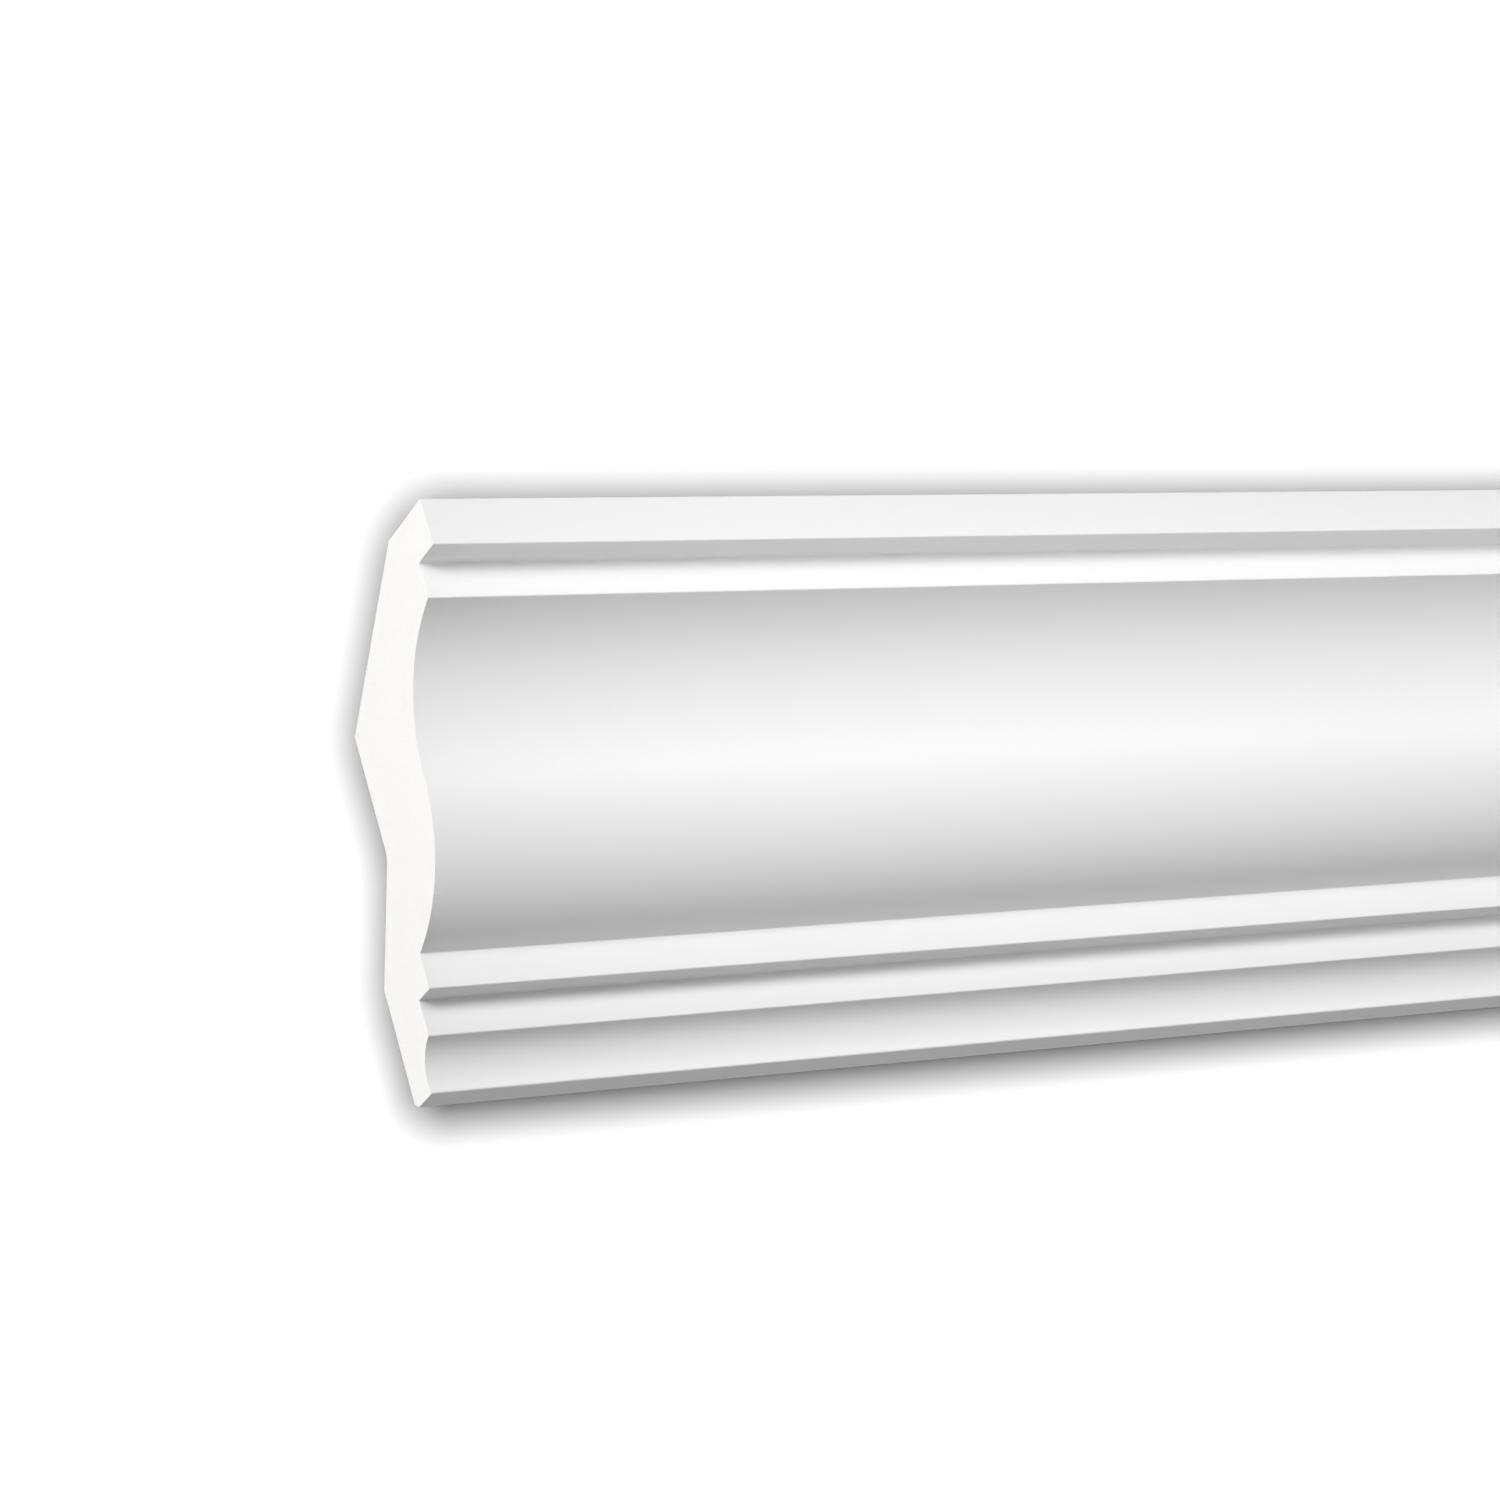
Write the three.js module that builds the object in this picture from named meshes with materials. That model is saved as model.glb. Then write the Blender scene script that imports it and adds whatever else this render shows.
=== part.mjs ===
// A length of crown moulding, cast in one piece and modelled as it sits in the corner of a wall and a ceiling.
// X runs along the length, the wall is towards +Y and the ceiling is above. The origin is the middle of the
// face that lies on the wall. All sizes are millimetres.

import * as THREE from 'three';

const length = 1000;

// How tall each member of the front is, from the ceiling down.
const topFilletHeight = 11.3;
const filletHeight = 8.4;
const cymaHeight = 62.4;
const coveHeight = 11.1;

// How far each member of the front steps back towards the wall, from the ceiling down.
const topSoffitDepth = 8;
const cymaDepth = 44.5;
const lowerSoffitDepth = 5.8;
const coveDepth = 5.4;
const footSoffitDepth = 8.7;

const coveRadius = 9;
const arrisRadius = 0.4;
const quirkRadius = 0.3;

// The back is hollowed, so that the moulding bears only on two flat faces, one on the ceiling and one on the wall.
const ceilingFaceWidth = 17.8;
const backDepth = 17;
const backTop = 27.8;
const backBottom = 57.5;
const wallFaceTop = 81.4;
const footChamfer = 1.4;
const backHollowRadius = 5;
const backArrisRadius = 0.6;

// The chord of an arc may leave the true curve by this much.
const chordError = 0.02;

const height = topFilletHeight + 3 * filletHeight + cymaHeight + coveHeight;
const projection = topSoffitDepth + cymaDepth + lowerSoffitDepth + coveDepth + footSoffitDepth;
const ceilingAboveOrigin = (wallFaceTop + height - footChamfer) / 2;

const finish = new THREE.MeshStandardMaterial({ color: 0xf4f4f2, roughness: 0.6, metalness: 0 });

// A point of the section, so far out from the wall and so far down from the ceiling, with the rounding it gets.
function corner(out, down, radius = 0) {
  return { at: new THREE.Vector2(-out, ceilingAboveOrigin - down), radius };
}

function arcSteps(radius, sweep) {
  const largestStep = 2 * Math.acos(1 - chordError / radius);
  return Math.ceil(Math.abs(sweep) / largestStep);
}

// The points of an arc between two ends, without the ends. A positive radius bulges to the left of the way
// from start to end, and a negative one to the right.
function arcBetween(start, end, radius) {
  const chord = end.clone().sub(start);
  const halfChord = chord.length() / 2;
  const halfSweep = Math.asin(halfChord / radius);
  const left = new THREE.Vector2(-chord.y, chord.x).normalize();
  const centre = start.clone().add(end).divideScalar(2);
  centre.addScaledVector(left, -radius * Math.cos(halfSweep));
  const steps = arcSteps(Math.abs(radius), 2 * halfSweep);
  const points = [];
  for (let i = 1; i < steps; i += 1) {
    const turned = start.clone().rotateAround(centre, (-2 * halfSweep * i) / steps);
    points.push({ at: turned, radius: 0 });
  }
  return points;
}

// The cyma is two equal arcs that meet on the vertical: hollow under the upper fillet, and full above the lower.
function cyma(top, bottom) {
  const middle = top.at.clone().add(bottom.at).divideScalar(2);
  const halfChord = middle.distanceTo(top.at);
  const fromVertical = Math.atan2(cymaDepth, cymaHeight);
  const radius = halfChord / (2 * Math.sin(fromVertical));
  const hollow = arcBetween(top.at, middle, radius);
  const full = arcBetween(middle, bottom.at, -radius);
  return [top, ...hollow, { at: middle, radius: 0 }, ...full, bottom];
}

function cove(top, bottom) {
  return [top, ...arcBetween(top.at, bottom.at, coveRadius), bottom];
}

// The front from the ceiling down to the foot: two fillets, the cyma, two fillets and a small cove.
function front() {
  let out = projection;
  let down = 0;
  const corners = [corner(out, down, arrisRadius)];
  down += topFilletHeight;
  corners.push(corner(out, down, arrisRadius));
  out -= topSoffitDepth;
  corners.push(corner(out, down, quirkRadius));
  down += filletHeight;
  const cymaTop = corner(out, down, arrisRadius);
  out -= cymaDepth;
  down += cymaHeight;
  const cymaBottom = corner(out, down, quirkRadius);
  corners.push(...cyma(cymaTop, cymaBottom));
  down += filletHeight;
  corners.push(corner(out, down, arrisRadius));
  out -= lowerSoffitDepth;
  corners.push(corner(out, down, quirkRadius));
  down += filletHeight;
  const coveTop = corner(out, down, arrisRadius);
  const coveBottom = corner(out - coveDepth, height, arrisRadius);
  corners.push(...cove(coveTop, coveBottom));
  return corners;
}

// The foot and the back, from the wall up to the ceiling.
function back() {
  return [
    corner(footChamfer, height, quirkRadius),
    corner(0, height - footChamfer, quirkRadius),
    corner(0, wallFaceTop, backArrisRadius),
    corner(backDepth, backBottom, backHollowRadius),
    corner(backDepth, backTop, backArrisRadius),
    corner(projection - ceilingFaceWidth, 0, backArrisRadius),
  ];
}

// Rounds a corner with an arc that touches the lines to the points before and after it.
function rounded(before, point, after) {
  if (point.radius === 0) {
    return [point.at];
  }
  const toBefore = before.at.clone().sub(point.at).normalize();
  const toAfter = after.at.clone().sub(point.at).normalize();
  const halfAngle = Math.acos(toBefore.dot(toAfter)) / 2;
  const reach = point.radius / Math.tan(halfAngle);
  const start = point.at.clone().addScaledVector(toBefore, reach);
  const end = point.at.clone().addScaledVector(toAfter, reach);
  const turn = Math.sign(toBefore.cross(toAfter));
  const arc = arcBetween(start, end, turn * point.radius);
  return [start, ...arc.map((p) => p.at), end];
}

function section() {
  const corners = [...front(), ...back()];
  const count = corners.length;
  const points = corners.flatMap((point, i) => {
    const before = corners[(i + count - 1) % count];
    const after = corners[(i + 1) % count];
    return rounded(before, point, after);
  });
  return new THREE.Shape(points);
}

// The section is drawn in its own plane and run out to the full length, cut square at both ends.
function moulding() {
  const geometry = new THREE.ExtrudeGeometry(section(), { depth: length, steps: 1, bevelEnabled: false });
  const mesh = new THREE.Mesh(geometry, finish);
  mesh.name = 'crown_moulding';
  mesh.rotation.set(Math.PI / 2, Math.PI / 2, 0);
  mesh.position.x = -length / 2;
  return mesh;
}

const crownMoulding = new THREE.Group();
crownMoulding.add(moulding());

export default crownMoulding;
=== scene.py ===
"""A metre of crown moulding cast in hard foam and primed white, seen from below past its sawn left end."""

import math

import bmesh
import bpy
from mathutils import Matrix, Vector


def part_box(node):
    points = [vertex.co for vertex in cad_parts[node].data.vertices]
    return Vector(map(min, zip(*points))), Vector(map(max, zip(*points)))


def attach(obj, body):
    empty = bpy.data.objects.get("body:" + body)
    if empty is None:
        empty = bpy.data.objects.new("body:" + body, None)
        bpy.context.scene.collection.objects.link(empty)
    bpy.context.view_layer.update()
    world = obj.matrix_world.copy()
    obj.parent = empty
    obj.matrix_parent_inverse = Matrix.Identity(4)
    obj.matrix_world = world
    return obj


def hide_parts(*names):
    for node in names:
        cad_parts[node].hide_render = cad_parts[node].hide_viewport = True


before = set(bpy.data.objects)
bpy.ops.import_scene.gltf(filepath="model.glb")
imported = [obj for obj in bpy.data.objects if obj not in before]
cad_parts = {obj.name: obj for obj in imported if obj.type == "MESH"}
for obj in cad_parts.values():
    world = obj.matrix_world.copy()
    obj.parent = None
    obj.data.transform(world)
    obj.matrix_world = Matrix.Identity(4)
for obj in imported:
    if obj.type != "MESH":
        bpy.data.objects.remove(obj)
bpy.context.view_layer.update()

MM = 0.001

# The place that the moulding holds in its corner: the wall's face, the ceiling's, and the sawn left end.
low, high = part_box("crown_moulding")
WALL = high.y
CEILING = high.z
LEFT_END = low.x
LENGTH = high.x - low.x

# The section's own sizes are millimetres. How tall each member of the front is, from the ceiling down:
HEIGHT = (high.z - low.z) / MM
TOP_FILLET = 11.3
FILLET = 8.4
COVE = 11.1
CYMA = HEIGHT - TOP_FILLET - 3 * FILLET - COVE

# How far each member steps back towards the wall, from the ceiling down:
PROJECTION = (high.y - low.y) / MM
TOP_SOFFIT = 8.0
LOWER_SOFFIT = 5.8
COVE_STEP = 5.4
FOOT = 8.7
CYMA_STEP = PROJECTION - TOP_SOFFIT - LOWER_SOFFIT - COVE_STEP - FOOT

# The hollowed back leaves one flat strip on the ceiling and one on the wall. Between them it stands off the
# wall by BACK_DEPTH, from BACK_TOP down to BACK_BOTTOM, with a slope at each end.
CEILING_STRIP = 17.8
BACK_DEPTH = 17.0
BACK_TOP = 27.8
BACK_BOTTOM = 57.5
WALL_STRIP_TOP = 81.4
FOOT_CHAMFER = 1.4

# The radius of the cove, and those of the roundings.
COVE_RADIUS = 9.0
ARRIS = 0.4
QUIRK = 0.3
BACK_ARRIS = 0.6
BACK_HOLLOW = 5.0

# The radius that rounds each corner of the section.
ROUNDINGS = {
    "top_arris": ARRIS,
    "top_fillet_arris": ARRIS,
    "top_quirk": QUIRK,
    "cyma_top": ARRIS,
    "cyma_foot": QUIRK,
    "lower_fillet_arris": ARRIS,
    "lower_quirk": QUIRK,
    "cove_top": ARRIS,
    "cove_foot": ARRIS,
    "foot_front": QUIRK,
    "foot_back": QUIRK,
    "wall_strip_top": BACK_ARRIS,
    "back_hollow": BACK_HOLLOW,
    "back_arris": BACK_ARRIS,
    "ceiling_strip_back": BACK_ARRIS,
}

# How finely the arcs and roundings are drawn, and how many slices the length is cut into.
CYMA_ARC_STEPS = 48
COVE_ARC_STEPS = 24
ROUNDING_STEPS = 4
SLICES = 40

# Points of the outline that are closer than this, in millimetres, are one point.
MERGE_GAP = 0.02

# Faces that meet at a sharper turn than this keep a hard edge between them.
SHARP_ANGLE = math.radians(30)

# How far a face's normal leans back, up or sideways before the face counts as the back, the ceiling strip or
# a sawn end.
BACK_LEAN = 0.1
CEILING_LEAN = 0.75
END_LEAN = 0.9

# The photograph's view: the camera's place, its turn about X, Y and Z in degrees, and its long lens and its
# sensor in millimetres. Nothing nearer to the lens than CAMERA_NEAR shows.
CAMERA_PLACE = (-0.8997, -0.7515, -0.3107)
CAMERA_TURN = (113.588, 15.897, -27.372)
CAMERA_LENS = 99.69
CAMERA_SENSOR = 36.0
CAMERA_NEAR = 0.01

# A round studio floor that sweeps up into a dome, wide enough to stay behind the moulding from every side.
FLOOR_DROP = 1.0
STUDIO_RADIUS = 7.0
SWEEP_RADIUS = 2.5
SWEEP_STEPS = 16
DOME_STEPS = 32
STUDIO_SIDES = 96

# The studio paper glows evenly, except in the round patch behind the moulding that the backdrop lamp lights.
# The patch lies where the camera points, and the glow comes back between its radius and its edge.
PAPER_GLOW = 0.56
PATCH_MIDDLE = (3.57, 5.83, 3.0)
PATCH_RADIUS = 2.2
PATCH_EDGE = 2.35

# The backdrop lamp sits just before the lens, so that the moulding's soft shadow frames it as a halo. Its
# place is measured from the camera: across, up and back. Its cone fades out over the last tenth.
BACKDROP_LAMP_PLACE = (-0.0026, 0.0018, -0.032)
BACKDROP_LAMP_RADIUS = 0.0084
BACKDROP_LAMP_POWER = 16000
BACKDROP_LAMP_CONE = math.radians(32)
BACKDROP_LAMP_BLEND = 0.1

# Where each softbox hangs, what it points at, its width and height in metres, and its power in watts.
MIDDLE = (0.0, -0.03, 0.045)
LEFT_HALF = (-0.4, 0.0, 0.04)
RIGHT_HALF = (0.4, 0.0, 0.04)
LEFT_SAWN_END = (-0.5, -0.04, 0.04)
RIGHT_SAWN_END = (0.5, -0.04, 0.04)
SOFTBOXES = {
    "middle_strip": ((0.0, -0.16, 0.045), MIDDLE, 1.1, 0.05, 0.18),
    "low_strip": ((0.0, -0.1714, -0.0964), MIDDLE, 1.1, 0.06, 0.39),
    "high_strip": ((0.0, -0.2179, 0.1134), MIDDLE, 1.1, 0.06, 0.32),
    "left_softbox": ((-1.1, -0.9, 0.3), LEFT_HALF, 0.3, 0.3, 5.45),
    "high_left_softbox": ((-1.0, -1.3, 0.8), LEFT_HALF, 0.3, 0.3, 3.05),
    "right_softbox": ((0.75, -0.35, 0.15), RIGHT_HALF, 0.3, 0.3, 0.6),
    "low_left_softbox": ((-1.0, 0.1, -0.8), LEFT_SAWN_END, 0.5, 0.5, 1.05),
    "foot_softbox": ((0.0, 0.55, -0.74), MIDDLE, 1.2, 0.3, 2.7),
    "left_end_softbox": ((-1.6, 0.25, 0.1), LEFT_SAWN_END, 0.6, 0.6, 9.1),
    "right_end_softbox": ((1.6, 0.25, 0.1), RIGHT_SAWN_END, 0.6, 0.6, 12.5),
    "top_softbox": ((0.0, 0.4, 1.6), MIDDLE, 1.0, 0.6, 12.0),
    "back_softbox": ((-0.4, 1.5, 0.9), MIDDLE, 1.2, 0.6, 14.0),
}

# A trace of even light from all round, and how many times light goes on from one matt face to the next.
STUDIO_AIR = 0.01
DIFFUSE_BOUNCES = 2


def linear(hex_colour):
    """An sRGB hex colour as the linear values that a shader takes."""
    channels = [int(hex_colour[i:i + 2], 16) / 255 for i in (0, 2, 4)]
    return [c / 12.92 if c <= 0.04045 else ((c + 0.055) / 1.055) ** 2.4 for c in channels] + [1.0]


def deselect_all():
    """Leaves edit mode and deselects everything."""
    if bpy.context.mode != "OBJECT":
        bpy.ops.object.mode_set(mode="OBJECT")
    bpy.ops.object.select_all(action="DESELECT")


def begin_outline(name, place):
    """A new piece that is only one point at that place, in edit mode, ready to be drawn on from there."""
    deselect_all()
    bpy.ops.mesh.primitive_plane_add(size=MM, location=place)
    bpy.context.object.name = name
    bpy.ops.object.transform_apply(location=True)
    bpy.ops.object.mode_set(mode="EDIT")
    bpy.ops.mesh.select_mode(type="VERT")
    bpy.ops.mesh.merge(type="CENTER")
    return bpy.context.object


def draw_line(start, end):
    """Draws a straight line on from the selected point."""
    bpy.ops.mesh.extrude_region_move(TRANSFORM_OT_translate={"value": end - start})


def draw_arc(start, end, radius, steps):
    """Spins the selected point from start to end about an axis along X. Seen from the right end, a positive
    radius has its centre to the right of the way."""
    chord = end - start
    half_sweep = math.asin(chord.length / 2 / abs(radius))
    right = Vector((0, chord.z, -chord.y)).normalized()
    centre = (start + end) / 2 + right * radius * math.cos(half_sweep)
    angle = math.copysign(2 * half_sweep, radius)
    bpy.ops.mesh.spin(steps=steps, angle=angle, center=centre, axis=(1, 0, 0))


def in_section(out, down):
    """A point at the left end, so many millimetres out from the wall and down from the ceiling."""
    return Vector((LEFT_END, WALL - out * MM, CEILING - down * MM))


def section_corners():
    """The section's corners by name: from the ceiling down the front to the foot, then up the back."""
    out, down = PROJECTION, 0
    corners = {"top_arris": in_section(out, down)}
    down += TOP_FILLET
    corners["top_fillet_arris"] = in_section(out, down)
    out -= TOP_SOFFIT
    corners["top_quirk"] = in_section(out, down)
    down += FILLET
    corners["cyma_top"] = in_section(out, down)
    corners["cyma_middle"] = in_section(out - CYMA_STEP / 2, down + CYMA / 2)
    out -= CYMA_STEP
    down += CYMA
    corners["cyma_foot"] = in_section(out, down)
    down += FILLET
    corners["lower_fillet_arris"] = in_section(out, down)
    out -= LOWER_SOFFIT
    corners["lower_quirk"] = in_section(out, down)
    down += FILLET
    corners["cove_top"] = in_section(out, down)
    corners["cove_foot"] = in_section(out - COVE_STEP, HEIGHT)
    corners["foot_front"] = in_section(FOOT_CHAMFER, HEIGHT)
    corners["foot_back"] = in_section(0, HEIGHT - FOOT_CHAMFER)
    corners["wall_strip_top"] = in_section(0, WALL_STRIP_TOP)
    corners["back_hollow"] = in_section(BACK_DEPTH, BACK_BOTTOM)
    corners["back_arris"] = in_section(BACK_DEPTH, BACK_TOP)
    corners["ceiling_strip_back"] = in_section(PROJECTION - CEILING_STRIP, 0)
    return corners


def draw_section(name, corners):
    """Draws the outline from corner to corner, with the cyma and the cove as arcs, and fills it."""
    cyma_chord = (corners["cyma_middle"] - corners["cyma_top"]).length
    cyma_radius = cyma_chord / 2 / math.sin(math.atan2(CYMA_STEP, CYMA))
    arcs = {
        "cyma_middle": (cyma_radius, CYMA_ARC_STEPS),
        "cyma_foot": (-cyma_radius, CYMA_ARC_STEPS),
        "cove_foot": (COVE_RADIUS * MM, COVE_ARC_STEPS),
    }
    first = here = corners["top_arris"]
    piece = begin_outline(name, first)
    for corner, place in corners.items():
        if corner in arcs:
            draw_arc(here, place, *arcs[corner])
        elif place != here:
            draw_line(here, place)
        here = place
    draw_line(here, first)
    bpy.ops.mesh.select_all(action="SELECT")
    bpy.ops.mesh.remove_doubles(threshold=MERGE_GAP * MM)
    bpy.ops.mesh.edge_face_add()
    return piece


def round_corner(piece, corner, radius):
    """Bevels one edge along the whole length. The sharper its turn, the further back the rounding starts."""
    bpy.ops.mesh.select_all(action="DESELECT")
    mesh = bmesh.from_edit_mesh(piece.data)
    edge = min(mesh.edges, key=lambda e: sum((v.co - corner).yz.length for v in e.verts))
    edge.select_set(True)
    reach = radius * MM * math.tan(edge.calc_face_angle() / 2)
    bmesh.update_edit_mesh(piece.data)
    bpy.ops.mesh.bevel(offset=reach, segments=ROUNDING_STEPS, profile=0.5, affect="EDGES")


def slice_length():
    """Cuts the faces across at even steps, so that none is a metre-long sliver."""
    for i in range(1, SLICES):
        bpy.ops.mesh.select_all(action="SELECT")
        across = (LEFT_END + LENGTH * i / SLICES, 0, 0)
        bpy.ops.mesh.bisect(plane_co=across, plane_no=(1, 0, 0))


def finish_with(piece, material, chosen):
    """Gives a material to the faces that the chosen test picks by their normal."""
    piece.data.materials.append(material)
    piece.active_material_index = len(piece.data.materials) - 1
    bpy.ops.mesh.select_mode(type="FACE")
    bpy.ops.mesh.select_all(action="DESELECT")
    mesh = bmesh.from_edit_mesh(piece.data)
    for face in mesh.faces:
        face.select_set(chosen(face.normal))
    bmesh.update_edit_mesh(piece.data)
    bpy.ops.object.material_slot_assign()


def smooth_shading(piece):
    """Smooths the arcs and roundings, and keeps the fillets flat: the wider face sets the shading where two
    faces meet."""
    deselect_all()
    piece.select_set(True)
    bpy.ops.object.shade_smooth_by_angle(angle=SHARP_ANGLE)
    bpy.ops.object.modifier_add(type="WEIGHTED_NORMAL")
    bpy.context.object.modifiers[-1].keep_sharp = True
    bpy.ops.object.modifier_apply(modifier=bpy.context.object.modifiers[-1].name)


def node(tree, kind, inputs, **settings):
    """Adds a node with its settings. An input given as another node's output is linked, any other is set."""
    made = tree.nodes.new(kind)
    for name, value in settings.items():
        setattr(made, name, value)
    for name, value in inputs.items():
        if isinstance(value, bpy.types.NodeSocket):
            tree.links.new(value, made.inputs[name])
        else:
            made.inputs[name].default_value = value
    return made


def new_material(name):
    """An empty node material, and the Object coordinates that its patterns follow."""
    material = bpy.data.materials.new(name)
    material.use_nodes = True
    tree = material.node_tree
    tree.nodes.clear()
    place = node(tree, "ShaderNodeTexCoord", {}).outputs["Object"]
    return material, tree, place


def per_metre(mm):
    """The scale of a pattern whose repeat measures so many millimetres."""
    return 1 / (mm * MM)


def primer_coated_foam():
    """Hard polyurethane foam cast against a smooth mould, with a sprayed water-based primer: an even,
    silky-matt white, with a faint orange peel and a slight change of sheen from place to place."""
    material, tree, place = new_material("primer_coated_foam")
    cloud = node(tree, "ShaderNodeTexNoise", {"Vector": place, "Scale": per_metre(mm=70), "Detail": 3.0})
    colour = node(tree, "ShaderNodeMix", {
        "Factor": cloud.outputs["Fac"],
        "A": linear("F4F3F3"),
        "B": linear("F6F5F5"),
    }, data_type="RGBA")
    haze = node(tree, "ShaderNodeTexNoise", {"Vector": place, "Scale": per_metre(mm=9), "Detail": 4.0})
    sheen = node(tree, "ShaderNodeMapRange", {"Value": haze.outputs["Fac"], "To Min": 0.46, "To Max": 0.6})
    peel = node(tree, "ShaderNodeTexNoise", {"Vector": place, "Scale": per_metre(mm=1.4), "Detail": 2.0})
    bump = node(tree, "ShaderNodeBump", {
        "Height": peel.outputs["Fac"],
        "Strength": 0.25,
        "Distance": 0.01 * MM,
    })
    shader = node(tree, "ShaderNodeBsdfPrincipled", {
        "Base Color": colour.outputs["Result"],
        "Roughness": sheen.outputs["Result"],
        "Normal": bump.outputs["Normal"],
        "IOR": 1.5,
    })
    node(tree, "ShaderNodeOutputMaterial", {"Surface": shader.outputs["BSDF"]})
    return material


def sawn_foam():
    """The same foam cut by a fine saw: matt, a little warmer than the primer, with its cells cut open. The
    cells measure about 0.15 mm and are drawn at 0.4 mm, so that they show. Each cell is painted darker
    towards its sunken middle, as painted shade in the cut cell."""
    material, tree, place = new_material("sawn_foam")
    cells = node(tree, "ShaderNodeTexVoronoi", {"Vector": place, "Scale": per_metre(mm=0.4)})
    # Painted shade: each cut cell is coloured darker towards its middle, where the bump sinks it.
    colour = node(tree, "ShaderNodeMix", {
        "Factor": cells.outputs["Distance"],
        "A": linear("F2F1EF"),
        "B": linear("F9F8F6"),
    }, data_type="RGBA")
    bump = node(tree, "ShaderNodeBump", {
        "Height": cells.outputs["Distance"],
        "Strength": 0.3,
        "Distance": 0.03 * MM,
    })
    shader = node(tree, "ShaderNodeBsdfPrincipled", {
        "Base Color": colour.outputs["Result"],
        "Roughness": 0.85,
        "Normal": bump.outputs["Normal"],
        "IOR": 1.5,
    })
    node(tree, "ShaderNodeOutputMaterial", {"Surface": shader.outputs["BSDF"]})
    return material


def cast_foam_back():
    """The foam's own skin as it leaves the mould, without primer: a duller white with soft blotches and a few
    pinholes where bubbles lay against the mould. A pinhole is up to about 1 mm wide, and only some bubbles
    leave one. Each pinhole is sunk by the bump and painted a darker grey, as painted shade in its hollow."""
    material, tree, place = new_material("cast_foam_back")
    blotches = node(tree, "ShaderNodeTexNoise", {"Vector": place, "Scale": per_metre(mm=25), "Detail": 5.0})
    skin = node(tree, "ShaderNodeMix", {
        "Factor": blotches.outputs["Fac"],
        "A": linear("E8E7E3"),
        "B": linear("F3F2EF"),
    }, data_type="RGBA")
    bubbles = node(tree, "ShaderNodeTexVoronoi", {"Vector": place, "Scale": per_metre(mm=7)})
    chance = node(tree, "ShaderNodeSeparateXYZ", {"Vector": bubbles.outputs["Color"]})
    width = node(tree, "ShaderNodeMapRange", {"Value": chance.outputs["X"], "From Min": 0.5, "To Max": 0.08})
    pinhole = node(tree, "ShaderNodeMath", {
        0: bubbles.outputs["Distance"],
        1: width.outputs["Result"],
    }, operation="LESS_THAN")
    # Painted shade: the pinholes are coloured a darker grey for the shade in their hollows.
    colour = node(tree, "ShaderNodeMix", {
        "Factor": pinhole.outputs["Value"],
        "A": skin.outputs["Result"],
        "B": linear("B9B7B1"),
    }, data_type="RGBA")
    sheen = node(tree, "ShaderNodeMapRange", {
        "Value": blotches.outputs["Fac"],
        "To Min": 0.55,
        "To Max": 0.75,
    })
    grain = node(tree, "ShaderNodeTexNoise", {"Vector": place, "Scale": per_metre(mm=2.5), "Detail": 6.0})
    relief = node(tree, "ShaderNodeMath", {
        0: grain.outputs["Fac"],
        1: pinhole.outputs["Value"],
    }, operation="SUBTRACT")
    bump = node(tree, "ShaderNodeBump", {
        "Height": relief.outputs["Value"],
        "Strength": 0.4,
        "Distance": 0.05 * MM,
    })
    shader = node(tree, "ShaderNodeBsdfPrincipled", {
        "Base Color": colour.outputs["Result"],
        "Roughness": sheen.outputs["Result"],
        "Normal": bump.outputs["Normal"],
        "IOR": 1.5,
    })
    node(tree, "ShaderNodeOutputMaterial", {"Surface": shader.outputs["BSDF"]})
    return material


def make_moulding():
    """The moulding drawn as its section, run out to its length, rounded along its corners and finished."""
    corners = section_corners()
    piece = draw_section("moulding", corners)
    bpy.ops.mesh.extrude_region_move(TRANSFORM_OT_translate={"value": (LENGTH, 0, 0)})
    bpy.ops.mesh.select_mode(type="EDGE")
    for name, radius in ROUNDINGS.items():
        round_corner(piece, corners[name], radius)
    slice_length()
    bpy.ops.mesh.select_all(action="SELECT")
    bpy.ops.mesh.normals_make_consistent(inside=False)
    finish_with(piece, primer_coated_foam(), lambda normal: True)
    finish_with(piece, cast_foam_back(), lambda normal: normal.y > BACK_LEAN or normal.z > CEILING_LEAN)
    finish_with(piece, sawn_foam(), lambda normal: abs(normal.x) > END_LEAN)
    smooth_shading(piece)
    return piece


def make_camera():
    """The camera of the photograph's view, updated at once so that the backdrop lamp can be placed by it."""
    deselect_all()
    turn = [math.radians(degrees) for degrees in CAMERA_TURN]
    bpy.ops.object.camera_add(location=CAMERA_PLACE, rotation=turn)
    camera = bpy.context.object
    camera.data.lens = CAMERA_LENS
    camera.data.sensor_width = CAMERA_SENSOR
    camera.data.clip_start = CAMERA_NEAR
    bpy.context.scene.camera = camera
    bpy.context.view_layer.update()
    return camera


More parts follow.
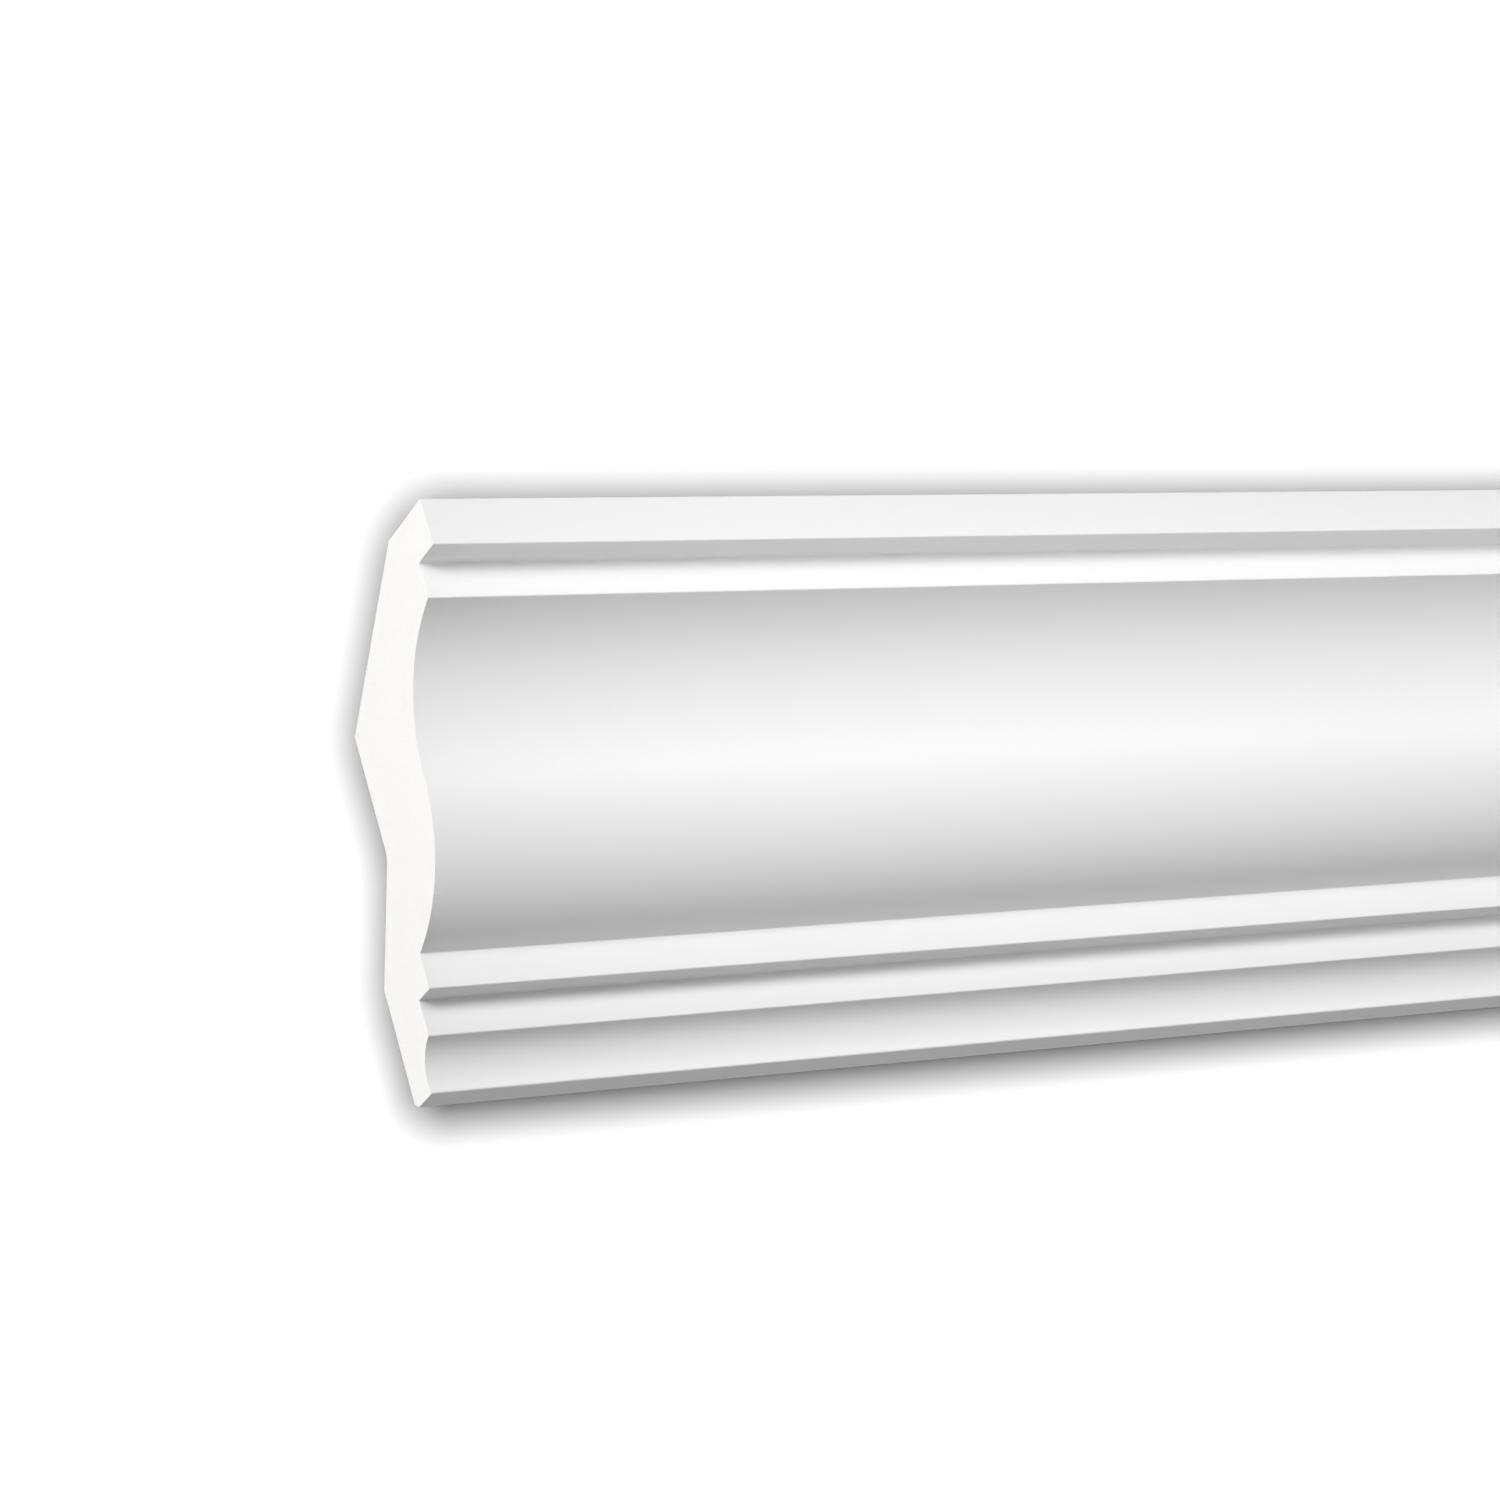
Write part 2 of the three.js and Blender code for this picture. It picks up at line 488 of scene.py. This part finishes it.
def make_studio():
    """A pale floor that sweeps up into a dome, drawn as one line and spun about the upright. It sends no
    light to the moulding, shows in no gloss and throws no shadow."""
    middle = Vector((0, 0, low.z - FLOOR_DROP))
    sweep_start = middle + Vector((0, STUDIO_RADIUS - SWEEP_RADIUS, 0))
    sweep_end = middle + Vector((0, STUDIO_RADIUS, SWEEP_RADIUS))
    dome_top = middle + Vector((0, 0, SWEEP_RADIUS + STUDIO_RADIUS))
    studio = begin_outline("studio", middle)
    draw_line(middle, sweep_start)
    draw_arc(sweep_start, sweep_end, -SWEEP_RADIUS, SWEEP_STEPS)
    draw_arc(sweep_end, dome_top, -STUDIO_RADIUS, DOME_STEPS)
    bpy.ops.mesh.select_all(action="SELECT")
    bpy.ops.mesh.spin(steps=STUDIO_SIDES, angle=2 * math.pi, center=middle, axis=(0, 0, 1))
    bpy.ops.mesh.select_all(action="SELECT")
    bpy.ops.mesh.remove_doubles(threshold=MM)
    bpy.ops.mesh.normals_make_consistent(inside=True)
    deselect_all()
    studio.select_set(True)
    bpy.ops.object.shade_smooth()
    studio.data.materials.append(studio_paper())
    studio.visible_diffuse = False
    studio.visible_glossy = False
    studio.visible_shadow = False
    return studio


def studio_paper():
    """Matt seamless paper with a soft even glow, which leaves out the patch that the backdrop lamp lights."""
    material, tree, place = new_material("studio_paper")
    from_middle = node(tree, "ShaderNodeVectorMath", {0: place, 1: PATCH_MIDDLE}, operation="DISTANCE")
    glow = node(tree, "ShaderNodeMapRange", {
        "Value": from_middle.outputs["Value"],
        "From Min": PATCH_RADIUS,
        "From Max": PATCH_EDGE,
        "To Min": 0.0,
        "To Max": PAPER_GLOW,
    }, interpolation_type="SMOOTHSTEP").outputs["Result"]
    paper = node(tree, "ShaderNodeBsdfDiffuse", {"Color": linear("7C7C7C")})
    glowing = node(tree, "ShaderNodeEmission", {"Color": linear("FFFFFF"), "Strength": glow})
    both = node(tree, "ShaderNodeAddShader", {0: paper.outputs["BSDF"], 1: glowing.outputs["Emission"]})
    node(tree, "ShaderNodeOutputMaterial", {"Surface": both.outputs["Shader"]})
    return material


def hang_lamp(name, kind, place, aim):
    """A lamp at that place, turned towards its aim, and itself out of sight."""
    deselect_all()
    bpy.ops.object.light_add(type=kind, location=place)
    lamp = bpy.context.object
    lamp.name = name
    lamp.rotation_euler = (Vector(aim) - Vector(place)).to_track_quat("-Z", "Y").to_euler()
    lamp.visible_camera = False
    return lamp


def hang_backdrop_lamp(studio, camera):
    """A lamp as small as a coin, just before the lens and a little above its axis, for the paper alone."""
    place = Vector(BACKDROP_LAMP_PLACE)
    aim = place - Vector((0, 0, 1))
    lamp = hang_lamp("backdrop_lamp", "SPOT", camera.matrix_world @ place, camera.matrix_world @ aim)
    lamp.data.energy = BACKDROP_LAMP_POWER
    lamp.data.spot_size = BACKDROP_LAMP_CONE
    lamp.data.spot_blend = BACKDROP_LAMP_BLEND
    lamp.data.shadow_soft_size = BACKDROP_LAMP_RADIUS
    lit = bpy.data.collections.new("lit_by_backdrop_lamp")
    lit.objects.link(studio)
    lamp.light_linking.receiver_collection = lit


def light_studio(studio, camera):
    """Hangs the softboxes and the backdrop lamp, and adds the trace of light from all round."""
    for name, (place, aim, width, height, power) in SOFTBOXES.items():
        lamp = hang_lamp(name, "AREA", place, aim)
        lamp.data.shape = "RECTANGLE"
        lamp.data.size = width
        lamp.data.size_y = height
        lamp.data.energy = power
    hang_backdrop_lamp(studio, camera)
    world = bpy.data.worlds.new("studio_air")
    world.use_nodes = True
    tree = world.node_tree
    tree.nodes.clear()
    air = node(tree, "ShaderNodeBackground", {"Color": linear("FFFFFF"), "Strength": STUDIO_AIR})
    node(tree, "ShaderNodeOutputWorld", {"Surface": air.outputs["Background"]})
    bpy.context.scene.world = world


camera = make_camera()
moulding = make_moulding()
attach(moulding, "root")
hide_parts("crown_moulding")
studio = make_studio()
light_studio(studio, camera)
bpy.context.scene.cycles.diffuse_bounces = DIFFUSE_BOUNCES
bpy.context.scene.view_settings.view_transform = "Standard"
